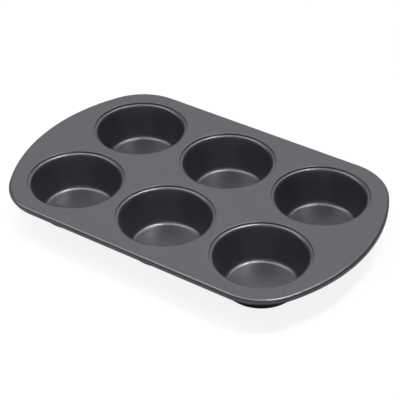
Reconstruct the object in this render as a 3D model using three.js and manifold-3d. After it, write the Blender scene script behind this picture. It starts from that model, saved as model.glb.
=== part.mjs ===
// Six-cup muffin pan: a pressed deck whose edge is rolled round a stiffening wire,
// with six drawn cups that hang by their flanges in stepped seats.
// Millimetres, +Z up. The origin is the middle of the footprint, on the plane that the cups stand on.
import * as THREE from "three";
import { mergeVertices } from "three/addons/utils/BufferGeometryUtils.js";
import Module from "manifold-3d";

// Layout of the cups, seen from above
const columnNames = ["left", "middle", "right"];
const rowNames = ["front", "back"];
const webWidth = 9.2; // deck left between the seats of neighbouring cups

// Cups
const mouthDiameter = 68; // inside, where the wall's line meets the flange
const floorDiameter = 53.8; // inside, where the wall's line meets the floor
const cupDepth = 28; // deck face down to the cup floor
const floorBend = 4; // inside radius between floor and wall
const shoulderBend = 2.7; // radius over which the flange turns down into the wall
const flangeLevel = 0.12; // level edge of the flange, outside its shoulder
const flangeDrop = 1.1; // deck face down to the flange face
const cupSheet = 0.5; // thickness

// Deck
const deckSheet = 0.5; // thickness
const sideBorder = 10.5; // seat edge to the middle of the rolled rim, on the straight sides
const handleReach = 21.6; // seat edge to the middle of the rolled rim, at the tips of the curved ends
const endRadius = 134.5; // plan radius of the curved ends
const cornerRadius = 41; // plan radius where a curved end runs into a straight side
const seatEdgeBend = 0.4; // radius of the deck edge that turns down into a seat
const collarDepth = 3; // seat face down to the lower edge of the collar round a cup
const seamClearance = 0.3; // between a cup and its seat

// Rolled rim
const wireDiameter = 3.4;
const wireClearance = 0.3; // between the wire and the roll
const rollSweep = 295; // degrees that the sheet is rolled through, from the deck face

// Fineness of the round forms
const cupSides = 28;
const floorBendSteps = 3;
const shoulderBendSteps = 3;
const seatBendSteps = 1;
const rollSteps = 9;
const wireSides = 8;
const cornerSteps = 6;
const endSteps = 8;

// Sizes that follow from those
const deckFace = cupDepth + cupSheet;
const cupFloor = deckFace - cupDepth;
const mouthRadius = mouthDiameter / 2;
const floorRadius = floorDiameter / 2;
const flangeFace = deckFace - flangeDrop;
const wallSlope = Math.atan2(mouthRadius - floorRadius, flangeFace - cupFloor);
const shoulderReach = Math.tan((Math.PI / 2 - wallSlope) / 2); // level reach of the shoulder, per radius
const flangeRadius = mouthRadius + shoulderBend * shoulderReach + flangeLevel;
const seatRadius = flangeRadius + seamClearance;
const seatFace = flangeFace - cupSheet - seamClearance;
const collarOffset = cupSheet + seamClearance; // inside of the cup out to the face of the collar
const collarBend = Math.max(shoulderBend - collarOffset, 0); // nests under the shoulder
const collarRadius = mouthRadius + (collarBend + collarOffset) * shoulderReach - collarBend;
const collarEdge = seatFace - collarDepth;
const cupPitch = 2 * seatRadius + webWidth;
const wireRadius = wireDiameter / 2;
const rollRadius = wireRadius + wireClearance + deckSheet;
const rollAxis = deckFace - rollRadius;
const halfWidth = ((rowNames.length - 1) * cupPitch) / 2 + seatRadius + sideBorder;
const halfLength = ((columnNames.length - 1) * cupPitch) / 2 + seatRadius + handleReach;
const seatLap = webWidth / 4; // flat of the deck made together with each seat

const coatedSteel = { color: 0x6b6c70, metalness: 0.6, roughness: 0.42 };
const coatedCup = { color: 0x63656a, metalness: 0.6, roughness: 0.4 };
const bareWire = { color: 0x9a9ca0, metalness: 1, roughness: 0.35 };

const wasm = await Module();
wasm.setup();

function point(x, y) {
  return new THREE.Vector2(x, y);
}

// A path of straight runs. Each corner between its ends is bent to a radius, in steps, or left sharp.
function bentPath(corners, bends) {
  const path = [corners[0]];
  bends.forEach(({ radius, steps }, i) => {
    const corner = corners[i + 1];
    const toward = corners[i].clone().sub(corner).normalize();
    const away = corners[i + 2].clone().sub(corner).normalize();
    const half = Math.acos(toward.dot(away)) / 2;
    const middle = toward.clone().add(away).normalize();
    const centre = corner.clone().addScaledVector(middle, radius / Math.sin(half));
    const start = corner.clone().addScaledVector(toward, radius / Math.tan(half));
    const turn = Math.sign(toward.cross(away)) * (2 * half - Math.PI);
    const last = radius > 0 ? steps : 0;
    for (let s = 0; s <= last; s += 1) {
      path.push(start.clone().rotateAround(centre, (turn * s) / steps));
    }
  });
  path.push(corners[corners.length - 1]);
  return path;
}

// The closed section of a sheet: its face line, and its back line one thickness to the right of it.
function sheetSection(face, thickness) {
  const back = face.map((here, i) => {
    const before = face[i - 1] ?? here;
    const after = face[i + 1] ?? here;
    const runs = [here.clone().sub(before), after.clone().sub(here)].filter((run) => run.length() > 0);
    const normals = runs.map((run) => point(run.y, -run.x).normalize());
    const mitre = normals.reduce((sum, normal) => sum.add(normal), point(0, 0)).normalize();
    return here.clone().addScaledVector(mitre, thickness / mitre.dot(normals[0]));
  });
  return [...back, ...face.toReversed()];
}

// Places along the rim: the arcs of the two corners and of the curved end on each side,
// each with its centre, its radius and the direction out of the pan.
function rimPlaces() {
  const endCentre = halfLength - endRadius;
  const cornerY = halfWidth - cornerRadius;
  const cornerX = endCentre + Math.sqrt((endRadius - cornerRadius) ** 2 - cornerY ** 2);
  const meet = Math.atan2(cornerY, cornerX - endCentre);
  const side = Math.PI / 2;
  const corner = { radius: cornerRadius, steps: cornerSteps };
  const arcs = [
    { ...corner, centre: point(cornerX, -cornerY), from: -side, to: -meet },
    { centre: point(endCentre, 0), radius: endRadius, steps: endSteps, from: -meet, to: meet },
    { ...corner, centre: point(cornerX, cornerY), from: meet, to: side },
  ];
  const places = [];
  for (const halfTurn of [0, Math.PI]) {
    arcs.forEach((arc, k) => {
      const first = k === 0 ? 0 : 1;
      for (let s = first; s <= arc.steps; s += 1) {
        const angle = THREE.MathUtils.lerp(arc.from, arc.to, s / arc.steps) + halfTurn;
        const outward = point(Math.cos(angle), Math.sin(angle));
        const centre = arc.centre.clone().rotateAround(point(0, 0), halfTurn);
        places.push({ centre, radius: arc.radius, outward });
      }
    });
  }
  return places;
}

// The outline that runs a given distance outside the middle of the rolled rim.
function rimOutline(offset) {
  return rimPlaces().map(({ centre, outward, radius }) => centre.addScaledVector(outward, radius + offset));
}

// A closed section carried round the whole rim: x is the distance outside its middle, y the height.
function sweepRoundRim(section) {
  const rings = section.map((corner) => rimOutline(corner.x));
  const count = rings[0].length;
  const positions = rings.flatMap((ring, i) => ring.flatMap((place) => [place.x, place.y, section[i].y]));
  const index = [];
  rings.forEach((ring, i) => {
    const next = (i + 1) % rings.length;
    for (let k = 0; k < count; k += 1) {
      const after = (k + 1) % count;
      const [a, b] = [i * count + k, i * count + after];
      const [c, d] = [next * count + after, next * count + k];
      index.push(a, b, c, a, c, d);
    }
  });
  const geometry = new THREE.BufferGeometry();
  geometry.setAttribute("position", new THREE.Float32BufferAttribute(positions, 3));
  geometry.setIndex(index);
  return geometry;
}

// A closed section turned about the upright axis of a cup.
function revolve(section) {
  return new THREE.LatheGeometry([...section, section[0]], cupSides).rotateX(Math.PI / 2);
}

// A closed geometry as a solid, with shared corners merged and the empty faces at a turning axis dropped.
function solidOf(geometry) {
  const bare = new THREE.BufferGeometry();
  bare.setAttribute("position", geometry.getAttribute("position"));
  bare.setIndex(geometry.index);
  const merged = mergeVertices(bare);
  const faces = [];
  for (let i = 0; i < merged.index.count; i += 3) {
    const [a, b, c] = merged.index.array.subarray(i, i + 3);
    if (a !== b && b !== c && c !== a) faces.push(a, b, c);
  }
  const triVerts = new Uint32Array(faces);
  const vertProperties = merged.getAttribute("position").array;
  return new wasm.Manifold(new wasm.Mesh({ numProp: 3, vertProperties, triVerts }));
}

// A named mesh of a solid.
function meshOf(name, solid, finish) {
  const { vertProperties, triVerts } = solid.getMesh();
  const geometry = new THREE.BufferGeometry();
  geometry.setAttribute("position", new THREE.Float32BufferAttribute(vertProperties, 3));
  geometry.setIndex([...triVerts]);
  geometry.computeVertexNormals();
  const mesh = new THREE.Mesh(geometry, new THREE.MeshStandardMaterial(finish));
  mesh.name = name;
  return mesh;
}

// Where each cup stands
const cupPlaces = rowNames.flatMap((row, j) =>
  columnNames.map((column, i) => ({
    name: `cup_${row}_${column}`,
    x: (i - (columnNames.length - 1) / 2) * cupPitch,
    y: (j - (rowNames.length - 1) / 2) * cupPitch,
  })),
);

// Flat of the deck, out to where the sheet begins to roll, with a hole inside the lap of each seat
function deckPlate() {
  const shape = new THREE.Shape(rimOutline(0));
  for (const { x, y } of cupPlaces) {
    const hole = new THREE.Path();
    hole.absarc(x, y, seatRadius + deckSheet + seatLap / 2, 0, 2 * Math.PI);
    shape.holes.push(hole);
  }
  const plate = new THREE.ExtrudeGeometry(shape, {
    depth: deckSheet,
    bevelEnabled: false,
    curveSegments: cupSides / 2,
  });
  return plate.translate(0, 0, deckFace - deckSheet);
}

// Step down from the deck face, level seat for the cup's flange, and the collar turned down round the cup
function deckSeat() {
  const sharp = { radius: 0, steps: 1 };
  const face = bentPath(
    [
      point(collarRadius, collarEdge),
      point(collarRadius, seatFace),
      point(seatRadius, seatFace),
      point(seatRadius, deckFace),
      point(seatRadius + deckSheet + seatLap, deckFace),
    ],
    [
      { radius: collarBend, steps: seatBendSteps },
      sharp,
      { radius: seatEdgeBend, steps: seatBendSteps },
    ],
  );
  return revolve(sheetSection(face, deckSheet));
}

// Edge of the deck rolled outward, down and back under itself round the wire
function deckRoll() {
  const face = [point(-rollRadius, deckFace)];
  for (let s = 0; s <= rollSteps; s += 1) {
    const angle = THREE.MathUtils.degToRad(90 - (rollSweep * s) / rollSteps);
    face.push(point(rollRadius * Math.cos(angle), rollAxis + rollRadius * Math.sin(angle)));
  }
  return sweepRoundRim(sheetSection(face, deckSheet));
}

// Cup drawn from one disc: level floor, bend, tapered wall, rounded shoulder and level flange
function drawnCup() {
  const face = bentPath(
    [
      point(0, cupFloor),
      point(floorRadius, cupFloor),
      point(mouthRadius, flangeFace),
      point(flangeRadius, flangeFace),
    ],
    [
      { radius: floorBend, steps: floorBendSteps },
      { radius: shoulderBend, steps: shoulderBendSteps },
    ],
  );
  return revolve(sheetSection(face, cupSheet));
}

// Stiffening wire that lies in the roll all the way round
function rimWire() {
  const section = [];
  for (let s = 0; s < wireSides; s += 1) {
    const angle = (2 * Math.PI * (s + 0.5)) / wireSides;
    section.push(point(wireRadius * Math.cos(angle), rollAxis + wireRadius * Math.sin(angle)));
  }
  return sweepRoundRim(section);
}

const pan = new THREE.Group();

let deck = solidOf(deckPlate()).add(solidOf(deckRoll()));
for (const { x, y } of cupPlaces) {
  deck = deck.add(solidOf(deckSeat().translate(x, y, 0)));
}
pan.add(meshOf("deck", deck, coatedSteel));

pan.add(meshOf("rim_wire", solidOf(rimWire()), bareWire));

for (const { name, x, y } of cupPlaces) {
  const cup = meshOf(name, solidOf(drawnCup()), coatedCup);
  cup.position.set(x, y, 0);
  pan.add(cup);
}

export default pan;
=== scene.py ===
import math

import bmesh
import bpy
from mathutils import Matrix, Vector


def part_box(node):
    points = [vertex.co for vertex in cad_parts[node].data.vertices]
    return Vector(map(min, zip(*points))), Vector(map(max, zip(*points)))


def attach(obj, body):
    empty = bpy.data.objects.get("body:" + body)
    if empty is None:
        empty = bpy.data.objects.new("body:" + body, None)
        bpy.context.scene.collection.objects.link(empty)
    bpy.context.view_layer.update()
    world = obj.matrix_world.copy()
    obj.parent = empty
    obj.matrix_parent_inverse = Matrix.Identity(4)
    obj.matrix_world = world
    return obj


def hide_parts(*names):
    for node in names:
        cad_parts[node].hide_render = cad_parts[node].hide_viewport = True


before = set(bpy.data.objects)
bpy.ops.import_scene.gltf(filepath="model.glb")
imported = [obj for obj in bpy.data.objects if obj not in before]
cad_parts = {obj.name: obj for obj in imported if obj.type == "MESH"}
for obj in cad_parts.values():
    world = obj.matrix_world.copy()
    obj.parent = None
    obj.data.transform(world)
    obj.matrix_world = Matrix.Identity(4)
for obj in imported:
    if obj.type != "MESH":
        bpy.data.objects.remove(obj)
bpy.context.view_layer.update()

# lengths are in metres and angles in degrees, unless a line turns them into radians
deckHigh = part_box("deck")[1]
cupNodes = sorted(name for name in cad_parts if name.startswith("cup_"))
cupBoxes = {name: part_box(name) for name in cupNodes}
firstCupLow, firstCupHigh = cupBoxes[cupNodes[0]]

deckFace = deckHigh.z
flangeFace = firstCupHigh.z
flangeRadius = (firstCupHigh.x - firstCupLow.x) / 2
hair = {
    "place": 0.00002,  # how near a point counts as being at a place
    "merge": 0.000005,  # points nearer than this become one
    "level": 0.000002,  # how far under the deck face still counts as level with it
}


# small helpers for working in edit mode

def clearSelection():
    if bpy.context.object and bpy.context.object.mode != "OBJECT":
        bpy.ops.object.mode_set(mode="OBJECT")
    bpy.ops.object.select_all(action="DESELECT")


def workOn(piece, mode="EDIT"):
    clearSelection()
    bpy.context.view_layer.objects.active = piece
    piece.select_set(True)
    bpy.ops.object.mode_set(mode=mode)


def label(piece, name):
    piece.name = name
    piece.data.name = name


def cupCentre(node):
    low, high = cupBoxes[node]
    return (low + high) / 2


def addRing(sides, radius, place, turn=(0, 0, 0)):
    # a bare ring, all selected in edit mode and ready to be drawn out; its turn is in radians
    clearSelection()
    bpy.ops.mesh.primitive_circle_add(
        vertices=sides, radius=radius, fill_type="NOTHING", location=place, rotation=turn
    )
    made = bpy.context.object
    bpy.ops.object.transform_apply(location=True, rotation=True)
    workOn(made)
    bpy.ops.mesh.select_all(action="SELECT")
    return made


def pickVerts(piece, wanted):
    bpy.ops.mesh.select_mode(type="VERT")
    bpy.ops.mesh.select_all(action="DESELECT")
    shape = bmesh.from_edit_mesh(piece.data)
    for vert in shape.verts:
        vert.select_set(wanted(vert.co))
    shape.select_flush_mode()
    bmesh.update_edit_mesh(piece.data)


def bentLine(corners, bends):
    # straight runs whose inner corners are bent, each to (radius, steps); points are (out, up)
    line = [Vector(corners[0])]
    for before, corner, after, (radius, steps) in zip(corners, corners[1:], corners[2:], bends):
        corner = Vector(corner)
        toward = (Vector(before) - corner).normalized()
        away = (Vector(after) - corner).normalized()
        half = toward.angle(away) / 2
        centre = corner + (toward + away).normalized() * (radius / math.sin(half))
        start = (corner + toward * (radius / math.tan(half)) - centre).normalized()
        end = (corner + away * (radius / math.tan(half)) - centre).normalized()
        for step in range(steps + 1):
            line.append(centre + start.slerp(end, step / steps) * radius)
    line.append(Vector(corners[-1]))
    return line


def pullRings(line, centre=(0, 0)):
    # the selected ring stands at the line's first point and is drawn along the rest of it
    for here, there in zip(line, line[1:]):
        grow = there.x / here.x
        bpy.ops.mesh.extrude_edges_move(TRANSFORM_OT_translate={"value": (0, 0, there.y - here.y)})
        bpy.ops.transform.resize(value=(grow, grow, 1), center_override=(*centre, there.y))


def mergeAndTurnOut(piece):
    workOn(piece)
    bpy.ops.mesh.select_all(action="SELECT")
    bpy.ops.mesh.remove_doubles(threshold=hair["merge"])
    bpy.ops.mesh.normals_make_consistent(inside=False)


def faceUp(piece, level):
    # all faces turned one way, with the level part at that height facing up
    mergeAndTurnOut(piece)
    shape = bmesh.from_edit_mesh(piece.data)
    flat = [face for face in shape.faces if abs(face.calc_center_median().z - level) < hair["place"]]
    if sum(face.normal.z * face.calc_area() for face in flat) < 0:
        bpy.ops.mesh.flip_normals()
    bpy.ops.object.mode_set(mode="OBJECT")


def addModifier(piece, kind, **settings):
    workOn(piece, "OBJECT")
    bpy.ops.object.modifier_add(type=kind)
    modifier = piece.modifiers[-1]
    for name, value in settings.items():
        setattr(modifier, name, value)
    bpy.ops.object.modifier_apply(modifier=modifier.name)


def smoothShade(piece, angle):
    workOn(piece, "OBJECT")
    bpy.ops.object.shade_smooth_by_angle(angle=math.radians(angle))


def thicken(piece, values):
    # the face that shows stays where it is and the sheet lies behind it
    addModifier(piece, "SOLIDIFY", thickness=values["sheet"], offset=-1, use_even_offset=True)
    addModifier(
        piece, "BEVEL", width=values["edgeRound"], segments=values["edgeSegments"],
        limit_method="ANGLE", angle_limit=math.radians(values["edgeAngle"]),
    )
    smoothShade(piece, values["smoothAngle"])


# the six cups: one is drawn up ring by ring from its floor, then copied to the other places

cup = {
    "floorRadius": 0.0269,  # where the wall's line meets the floor
    "mouthRadius": 0.0343,  # where the wall's line meets the flange
    "flangeReach": 0.00025,  # taken up of the CAD's play, so that the flange fills its seat
    "floorBend": (0.0040, 12),  # radius and steps
    "shoulderBend": (0.0027, 12),
    "sides": 144,
    "floorRings": (0.004, 0.007, 0.006),  # widths that divide the floor, from its edge inward
    "sheet": 0.0005,
    "edgeRound": 0.00006,
    "edgeSegments": 2,
    "edgeAngle": 60,  # edges sharper than this are rounded
    "smoothAngle": 35,
}
cupFloor = firstCupLow.z + cup["sheet"]


def drawCup():
    line = bentLine(
        [
            (0, cupFloor),
            (cup["floorRadius"], cupFloor),
            (cup["mouthRadius"], flangeFace),
            (flangeRadius + cup["flangeReach"], flangeFace),
        ],
        [cup["floorBend"], cup["shoulderBend"]],
    )[1:]
    made = addRing(cup["sides"], line[0].x, (0, 0, line[0].y))
    pullRings(line)
    pickVerts(made, lambda co: math.hypot(co.x, co.y) < line[0].x + hair["place"])
    bpy.ops.mesh.edge_face_add()
    for width in cup["floorRings"]:
        bpy.ops.mesh.inset(thickness=width)
    faceUp(made, cupFloor)
    thicken(made, cup)
    return made


def copyCup(pattern, node):
    workOn(pattern, "OBJECT")
    bpy.ops.object.duplicate(linked=False)
    made = bpy.context.object
    label(made, node.replace("cup_", "drawn_cup_"))
    centre = cupCentre(node)
    bpy.ops.transform.translate(value=(centre.x, centre.y, 0))
    bpy.ops.object.transform_apply(location=True)
    return made


cupPattern = drawCup()
cups = {node: copyCup(cupPattern, node) for node in cupNodes}
workOn(cupPattern, "OBJECT")
bpy.ops.object.delete()
print("cups drawn:", len(cups), "faces each:", len(cups[cupNodes[0]].data.polygons))


# the deck: a quarter of the rolled rim swept and mirrored, six stepped seats, and the flat between

deck = {
    "rollRadius": 0.00247,
    "rollSweep": 295,  # that the sheet turns through, from the deck face
    "rollSides": 72,
    "endRadius": 0.1345,  # plan radius of the curved ends
    "cornerRadius": 0.0410,  # plan radius where a curved end runs into a straight side
    "cornerSteps": 24,
    "endSteps": 12,
    "flatStrip": 0.0025,  # level sheet made together with the roll
    "seatPlay": 0.0003,  # of the CAD's cup in its seat, all round
    "seatGap": 0.00005,  # left under the cup
    "seatLap": 0.0020,  # level sheet made together with a seat
    "seatEdge": (0.0006, 6),  # radius and steps
    "seatCorner": (0.0001, 2),
    "collarSteps": 8,
    "collarDepth": 0.0030,
    "sheet": 0.0005,
    "edgeRound": 0.0001,
    "edgeSegments": 2,
    "edgeAngle": 60,  # edges sharper than this are rounded
    "smoothAngle": 35,
}
halfLength = deckHigh.x - deck["rollRadius"]  # to the middle of the roll
halfWidth = deckHigh.y - deck["rollRadius"]
rollAxis = deckFace - deck["rollRadius"]
endCentre = halfLength - deck["endRadius"]
cornerY = halfWidth - deck["cornerRadius"]
cornerX = endCentre + math.sqrt((deck["endRadius"] - deck["cornerRadius"]) ** 2 - cornerY ** 2)
meetAngle = math.atan2(cornerY, cornerX - endCentre)  # in radians, where corner and end run together


def addSection(sides, radius):
    # stands upright at the middle of the front side
    return addRing(sides, radius, (0, -halfWidth, rollAxis), (0, math.pi / 2, 0))


def sweepRound(made):
    # the selected section is carried to the tip of the right end, and that quarter is mirrored
    bpy.ops.mesh.extrude_edges_move(TRANSFORM_OT_translate={"value": (cornerX, 0, 0)})
    bpy.ops.mesh.spin(
        steps=deck["cornerSteps"], angle=math.pi / 2 - meetAngle,
        center=(cornerX, -cornerY, 0), axis=(0, 0, -1),
    )
    bpy.ops.mesh.spin(
        steps=deck["endSteps"], angle=meetAngle, center=(endCentre, 0, 0), axis=(0, 0, -1),
    )
    addModifier(made, "MIRROR", use_axis=(True, True, False), merge_threshold=hair["merge"])


def rollTurn(co):
    # from the top of the roll, going outward and down
    return math.degrees(math.atan2(-halfWidth - co.y, co.z - rollAxis)) % 360


def isLevel(co):
    return co.z > deckFace - hair["level"]


def rollRim():
    made = addSection(deck["rollSides"], deck["rollRadius"])
    halfStep = 360 / deck["rollSides"] / 2
    pickVerts(made, lambda co: deck["rollSweep"] + halfStep < rollTurn(co) < 360 - halfStep)
    bpy.ops.mesh.delete(type="VERT")
    pickVerts(made, isLevel)
    bpy.ops.mesh.extrude_vertices_move(TRANSFORM_OT_translate={"value": (0, deck["flatStrip"], 0)})
    bpy.ops.mesh.select_all(action="SELECT")
    sweepRound(made)
    return made


def pressSeat(node):
    centre = cupCentre(node).xy
    seatRadius = flangeRadius + deck["seatPlay"]
    seatFace = flangeFace - cup["sheet"] - deck["seatGap"]
    shoulderBend = cup["shoulderBend"][0]
    wallLean = math.atan2(cup["mouthRadius"] - cup["floorRadius"], flangeFace - cupFloor)
    bendCentre = cup["mouthRadius"] + shoulderBend * math.tan((math.pi / 2 - wallLean) / 2)
    collarBend = shoulderBend - cup["sheet"] - deck["seatGap"]  # nests under the cup's shoulder
    collarRadius = bendCentre - collarBend
    line = bentLine(
        [
            (seatRadius + deck["seatLap"], deckFace),
            (seatRadius, deckFace),
            (seatRadius, seatFace),
            (collarRadius, seatFace),
            (collarRadius, seatFace - deck["collarDepth"]),
        ],
        [deck["seatEdge"], deck["seatCorner"], (collarBend, deck["collarSteps"])],
    )
    made = addRing(cup["sides"], line[0].x, (*centre, deckFace))
    pullRings(line, centre)
    bpy.ops.object.mode_set(mode="OBJECT")
    return made


def pressDeck():
    made = rollRim()
    seats = [pressSeat(node) for node in cupNodes]
    workOn(made, "OBJECT")
    for seat in seats:
        seat.select_set(True)
    bpy.ops.object.join()
    label(made, "pressed_deck")
    workOn(made)
    bpy.ops.mesh.select_mode(type="EDGE")
    bpy.ops.mesh.select_all(action="DESELECT")
    shape = bmesh.from_edit_mesh(made.data)
    for edge in shape.edges:
        edge.select_set(edge.is_boundary and all(isLevel(vert.co) for vert in edge.verts))
    bmesh.update_edit_mesh(made.data)
    bpy.ops.mesh.fill(use_beauty=True)
    faceUp(made, deckFace)
    thicken(made, deck)
    return made


pressedDeck = pressDeck()
print("deck pressed, faces:", len(pressedDeck.data.polygons))


# the stiffening wire that the rim is rolled round

wire = {"radius": 0.0017, "sides": 20, "smoothAngle": 40}


def layWire():
    made = addSection(wire["sides"], wire["radius"])
    label(made, "stiffening_wire")
    sweepRound(made)
    mergeAndTurnOut(made)
    smoothShade(made, wire["smoothAngle"])
    return made


rimWire = layWire()
print("wire laid, faces:", len(rimWire.data.polygons))


# materials

class Flow:
    # a socket in a node tree, that adds Math nodes as it is reckoned with
    def __init__(self, tree, socket=None):
        self.tree = tree
        self.socket = socket

    def node(self, kind, settings=None, sockets=None, output=0):
        made = self.tree.nodes.new(kind)
        for name, value in (settings or {}).items():
            if name == "stops":
                fillRamp(made.color_ramp, value)
            else:
                setattr(made, name, value)
        for name, value in (sockets or {}).items():
            if isinstance(value, Flow):
                self.tree.links.new(value.socket, made.inputs[name])
            else:
                made.inputs[name].default_value = value
        return Flow(self.tree, made.outputs[output] if made.outputs else None)

    def outputs(self, *names):
        # other outputs of the node that this socket is on
        return [Flow(self.tree, self.socket.node.outputs[name]) for name in names]

    def reckon(self, operation, first, second):
        return self.node("ShaderNodeMath", {"operation": operation}, {0: first, 1: second})

    def __add__(self, other):
        return self.reckon("ADD", self, other)

    def __radd__(self, other):
        return self.reckon("ADD", other, self)

    def __sub__(self, other):
        return self.reckon("SUBTRACT", self, other)

    def __rsub__(self, other):
        return self.reckon("SUBTRACT", other, self)

    def __mul__(self, other):
        return self.reckon("MULTIPLY", self, other)

    def __rmul__(self, other):
        return self.reckon("MULTIPLY", other, self)


noiseMiddle = 0.5  # that a noise texture varies about


def fillRamp(ramp, stops):
    while len(ramp.elements) < len(stops):
        ramp.elements.new(1)
    for element, (place, value) in zip(ramp.elements, stops):
        element.position = place
        element.color = (value, value, value, 1)


def newMaterial(name):
    material = bpy.data.materials.new(name)
    material.use_nodes = True
    material.node_tree.nodes.clear()
    return material, Flow(material.node_tree)


def finishMaterial(flow, shader):
    flow.node("ShaderNodeOutputMaterial", sockets={"Surface": shader})


def mixColours(flow, factor, first, second):
    # a Mix node has its colours at sockets 6 and 7, and gives their mix at output 2
    first, second = (end if isinstance(end, Flow) else (*end, 1) for end in (first, second))
    return flow.node("ShaderNodeMix", {"data_type": "RGBA"}, {0: factor, 6: first, 7: second}, output=2)


def noise(flow, place, scale, detail):
    return flow.node("ShaderNodeTexNoise", sockets={"Vector": place, "Scale": scale, "Detail": detail})


coating = {
    "dark": (0.141, 0.145, 0.167),
    "light": (0.158, 0.162, 0.186),
    "metallic": 0.78,
    "roughness": 0.35,
    "mottleScale": 38,  # patches per metre
    "mottleDetail": 4,
    "mottleRoughness": 0.05,  # by which the patches differ
    "peelScale": 1900,  # fine grain of the sprayed coating
    "peelDetail": 2,
    "peelRoughness": 0.03,
    "peelDepth": 0.000012,
    "fleckScale": 1500,
    "fleckSize": (0.10, 0.24),  # where a fleck begins to fade and ends, as a share of its cell
    "fleckColour": (0.24, 0.242, 0.25),
    "fleckAmount": 0.35,
}


def coatedSteel(name, centre):
    material, flow = newMaterial(name)
    place = flow.node("ShaderNodeTexCoord", output="Object")
    place = flow.node("ShaderNodeMapping", sockets={
        "Vector": place, "Location": (-centre.x, -centre.y, 0),
    })
    mottle = noise(flow, place, coating["mottleScale"], coating["mottleDetail"])
    peel = noise(flow, place, coating["peelScale"], coating["peelDetail"])
    fleck = flow.node("ShaderNodeTexVoronoi", sockets={"Vector": place, "Scale": coating["fleckScale"]})
    fadeStart, fadeEnd = coating["fleckSize"]
    fleck = flow.node("ShaderNodeValToRGB", {"stops": [(fadeStart, 1), (fadeEnd, 0)]}, {"Fac": fleck})
    base = mixColours(flow, mottle, coating["dark"], coating["light"])
    base = mixColours(flow, fleck * coating["fleckAmount"], base, coating["fleckColour"])
    rough = (
        coating["roughness"]
        + (mottle - noiseMiddle) * coating["mottleRoughness"]
        + (peel - noiseMiddle) * coating["peelRoughness"]
    )
    bump = flow.node("ShaderNodeBump", sockets={
        "Height": peel, "Distance": coating["peelDepth"], "Strength": 1,
    })
    shader = flow.node("ShaderNodeBsdfPrincipled", sockets={
        "Base Color": base, "Metallic": coating["metallic"], "Roughness": rough, "Normal": bump,
    })
    finishMaterial(flow, shader)
    return material


drawnSteel = {
    "dark": (0.36, 0.36, 0.37),
    "light": (0.48, 0.48, 0.49),
    "metallic": 1,
    "roughness": 0.34,
    "grainRoughness": 0.1,  # by which the grain differs
    "grainScale": (300, 300, 2400),
    "grainDetail": 3,
}


def wireSteel():
    material, flow = newMaterial("drawn_wire_steel")
    place = flow.node("ShaderNodeTexCoord", output="Object")
    place = flow.node("ShaderNodeMapping", sockets={"Vector": place, "Scale": drawnSteel["grainScale"]})
    grain = noise(flow, place, 1, drawnSteel["grainDetail"])
    shader = flow.node("ShaderNodeBsdfPrincipled", sockets={
        "Base Color": mixColours(flow, grain, drawnSteel["dark"], drawnSteel["light"]),
        "Metallic": drawnSteel["metallic"],
        "Roughness": drawnSteel["roughness"] + (grain - noiseMiddle) * drawnSteel["grainRoughness"],
    })
    finishMaterial(flow, shader)
    return material


def dress(piece, material, node):
    piece.data.materials.clear()
    piece.data.materials.append(material)
    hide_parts(node)
    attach(piece, "root")


dress(pressedDeck, coatedSteel("coated_deck", Vector((0, 0, 0))), "deck")
dress(rimWire, wireSteel(), "rim_wire")
for node, piece in cups.items():
    dress(piece, coatedSteel("coated_" + node, cupCentre(node)), node)
print("materials given")


# camera, from the photograph

camera = {
    "turn": 34.98,  # round from the front, towards the right end
    "rise": 36.68,
    "roll": -1.24,
    "distance": 1.0676,
    "aim": (0.01086, -0.01234),  # on the deck face
    "lens": 130.76,  # in millimetres, as is the sensor
    "sensor": 36,
    "clipEnd": 50,
}


def setCamera():
    turn = Matrix.Rotation(math.radians(camera["turn"]), 4, "Z")
    tilt = Matrix.Rotation(math.radians(90 - camera["rise"]), 4, "X")
    roll = Matrix.Rotation(math.radians(camera["roll"]), 4, "Z")
    stand = turn @ tilt
    aim = Vector((*camera["aim"], deckFace))
    bpy.ops.object.camera_add(
        location=aim + stand @ Vector((0, 0, camera["distance"])),
        rotation=(stand @ roll).to_euler(),
    )
    made = bpy.context.object
    made.data.sensor_width = camera["sensor"]
    made.data.lens = camera["lens"]
    made.data.clip_end = camera["clipEnd"]
    bpy.context.scene.camera = made


# studio: a pale floor that turns up far off, and soft boxes above and round the pan

studio = {
    "floorRadius": 6,
    "floorSides": 96,
    "backdrop": (8, 1.3),  # how far off the floor turns up, and how high it goes
    "backdropBend": (1.0, 12),  # radius and steps
    "floorColour": (0.22, 0.22, 0.22),
    "floorGlow": (0.875, 1.0),  # near the pan and far off, for the eye and in polished faces
    "glowReach": (0.35, 1.0),  # from the pan's middle, where the glow starts and stops growing
    "floorTint": (0.56, 0.55, 0.51),  # of the glow in polished faces
    "shade": (-0.004, 0.040),  # outside the pan's edge, where the painted shadow under the pan ends and the glow comes back in polished faces
    "shadeLeft": 0.08,  # share of the glow that is left under the pan in polished faces, inside the painted shadow
    "surround": (0.030, 0.031, 0.041),
}
softBoxes = {
    # turn and rise as seen from the pan, angular size, distance, brightness and tint
    "overhead": {
        "turn": 50, "rise": 75, "span": (22, 22), "distance": 1.3, "glow": 0.52, "tint": "warm",
        "aim": (0, -0.20), "beam": 20,
    },
    "overhead_left": {
        "turn": 190, "rise": 72, "span": (20, 20), "distance": 1.3, "glow": 3.65, "tint": "warm",
    },
    "overhead_back": {
        "turn": 72, "rise": 58, "span": (24, 14), "distance": 1.3, "glow": 2.8, "tint": "warm",
    },
    "left_strip": {
        "turn": 203, "rise": 45, "span": (14, 44), "distance": 1.3, "glow": 3.05, "tint": "plain",
    },
    "far_low": {
        "turn": 116, "rise": 28, "span": (70, 24), "distance": 1.5, "glow": 0.67, "tint": "plain",
    },
    "far_high": {
        "turn": 122, "rise": 50, "span": (60, 20), "distance": 1.5, "glow": 0.46, "tint": "plain",
    },
    "front_high": {
        "turn": 305, "rise": 50, "span": (60, 20), "distance": 1.5, "glow": 0.52, "tint": "cool",
    },
}
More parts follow.
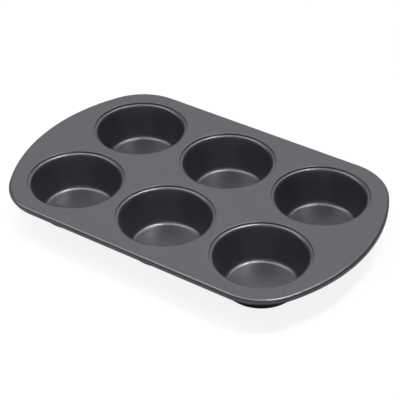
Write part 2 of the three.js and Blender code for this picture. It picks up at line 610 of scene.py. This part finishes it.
plainBox = {"aim": (0, 0), "beam": 180}  # point on the deck's level and width of beam, if none is given
boxTints = {"warm": (1.0, 0.985, 0.915), "plain": (1.0, 0.995, 0.915), "cool": (0.98, 1.0, 1.10)}
boxPower = 4  # watts for each square metre at a brightness of 1


def paleFloor():
    material, flow = newMaterial("pale_floor")
    eye, polished, glass = flow.node("ShaderNodeLightPath").outputs(
        "Is Camera Ray", "Is Glossy Ray", "Is Transmission Ray"
    )
    spot = flow.node("ShaderNodeTexCoord", output="Object")
    away = flow.node("ShaderNodeVectorMath", {"operation": "LENGTH"}, {0: spot}, output="Value")
    glowing = flow.node("ShaderNodeMapRange", sockets={
        "Value": away, "From Min": studio["glowReach"][0], "From Max": studio["glowReach"][1],
        "To Min": studio["floorGlow"][0], "To Max": studio["floorGlow"][1],
    })
    aside = flow.node("ShaderNodeVectorMath", {"operation": "ABSOLUTE"}, {0: spot})
    asideX, asideY = flow.node("ShaderNodeSeparateXYZ", sockets={0: aside}).outputs("X", "Y")
    beyond = flow.reckon("MAXIMUM", asideX - deckHigh.x, asideY - deckHigh.y)
    # painted shadow: polished faces see the floor's glow fade out under the pan, standing in for the
    # pan's shade there
    outsidePaintedShadow = flow.node("ShaderNodeMapRange", {"interpolation_type": "SMOOTHSTEP"}, {
        "Value": beyond, "From Min": studio["shade"][0], "From Max": studio["shade"][1],
        "To Min": studio["shadeLeft"],
    })
    seen = eye + (polished + glass) * outsidePaintedShadow
    colour = mixColours(flow, eye, studio["floorTint"], (1, 1, 1))
    paper = flow.node("ShaderNodeBsdfDiffuse", sockets={"Color": (*studio["floorColour"], 1)})
    glow = flow.node("ShaderNodeEmission", sockets={"Color": colour, "Strength": seen * glowing})
    both = flow.node("ShaderNodeAddShader", sockets={0: paper, 1: glow})
    clear = flow.node("ShaderNodeBsdfTransparent")
    under = flow.node("ShaderNodeNewGeometry", output="Backfacing")
    finishMaterial(flow, flow.node("ShaderNodeMixShader", sockets={0: under, 1: both, 2: clear}))
    return material


def layFloor():
    clearSelection()
    bpy.ops.mesh.primitive_circle_add(
        vertices=studio["floorSides"], radius=studio["floorRadius"], fill_type="NGON"
    )
    made = bpy.context.object
    made.name = "studio_floor"
    wallPlace, wallTop = studio["backdrop"]
    workOn(made)
    pullRings(bentLine(
        [(studio["floorRadius"], 0), (wallPlace, 0), (wallPlace, wallTop)], [studio["backdropBend"]]
    ))
    faceUp(made, 0)
    made.data.materials.append(paleFloor())


def hangBox(name, box):
    turn, rise = math.radians(box["turn"]), math.radians(box["rise"])
    toward = Vector((math.cos(turn) * math.cos(rise), math.sin(turn) * math.cos(rise), math.sin(rise)))
    bpy.ops.object.light_add(
        type="AREA",
        location=Vector((*box["aim"], deckFace)) + toward * box["distance"],
        rotation=(-toward).to_track_quat("-Z", "Y").to_euler(),
    )
    made = bpy.context.object
    made.name = name
    made.visible_camera = False
    lamp = made.data
    lamp.shape = "RECTANGLE"
    lamp.size, lamp.size_y = (
        2 * box["distance"] * math.tan(math.radians(span / 2)) for span in box["span"]
    )
    lamp.energy = boxPower * box["glow"] * lamp.size * lamp.size_y
    lamp.spread = math.radians(box["beam"])
    lamp.color = boxTints[box["tint"]]


def lightStudio():
    for name, box in softBoxes.items():
        hangBox(name, {**plainBox, **box})
    world = bpy.data.worlds.new("studio_surround")
    world.use_nodes = True
    background = world.node_tree.nodes["Background"]
    background.inputs["Color"].default_value = (*studio["surround"], 1)
    bpy.context.scene.world = world


clearSelection()
setCamera()
layFloor()
lightStudio()
bpy.context.scene.view_settings.view_transform = "Standard"
print("studio set")

bpy.context.view_layer.update()
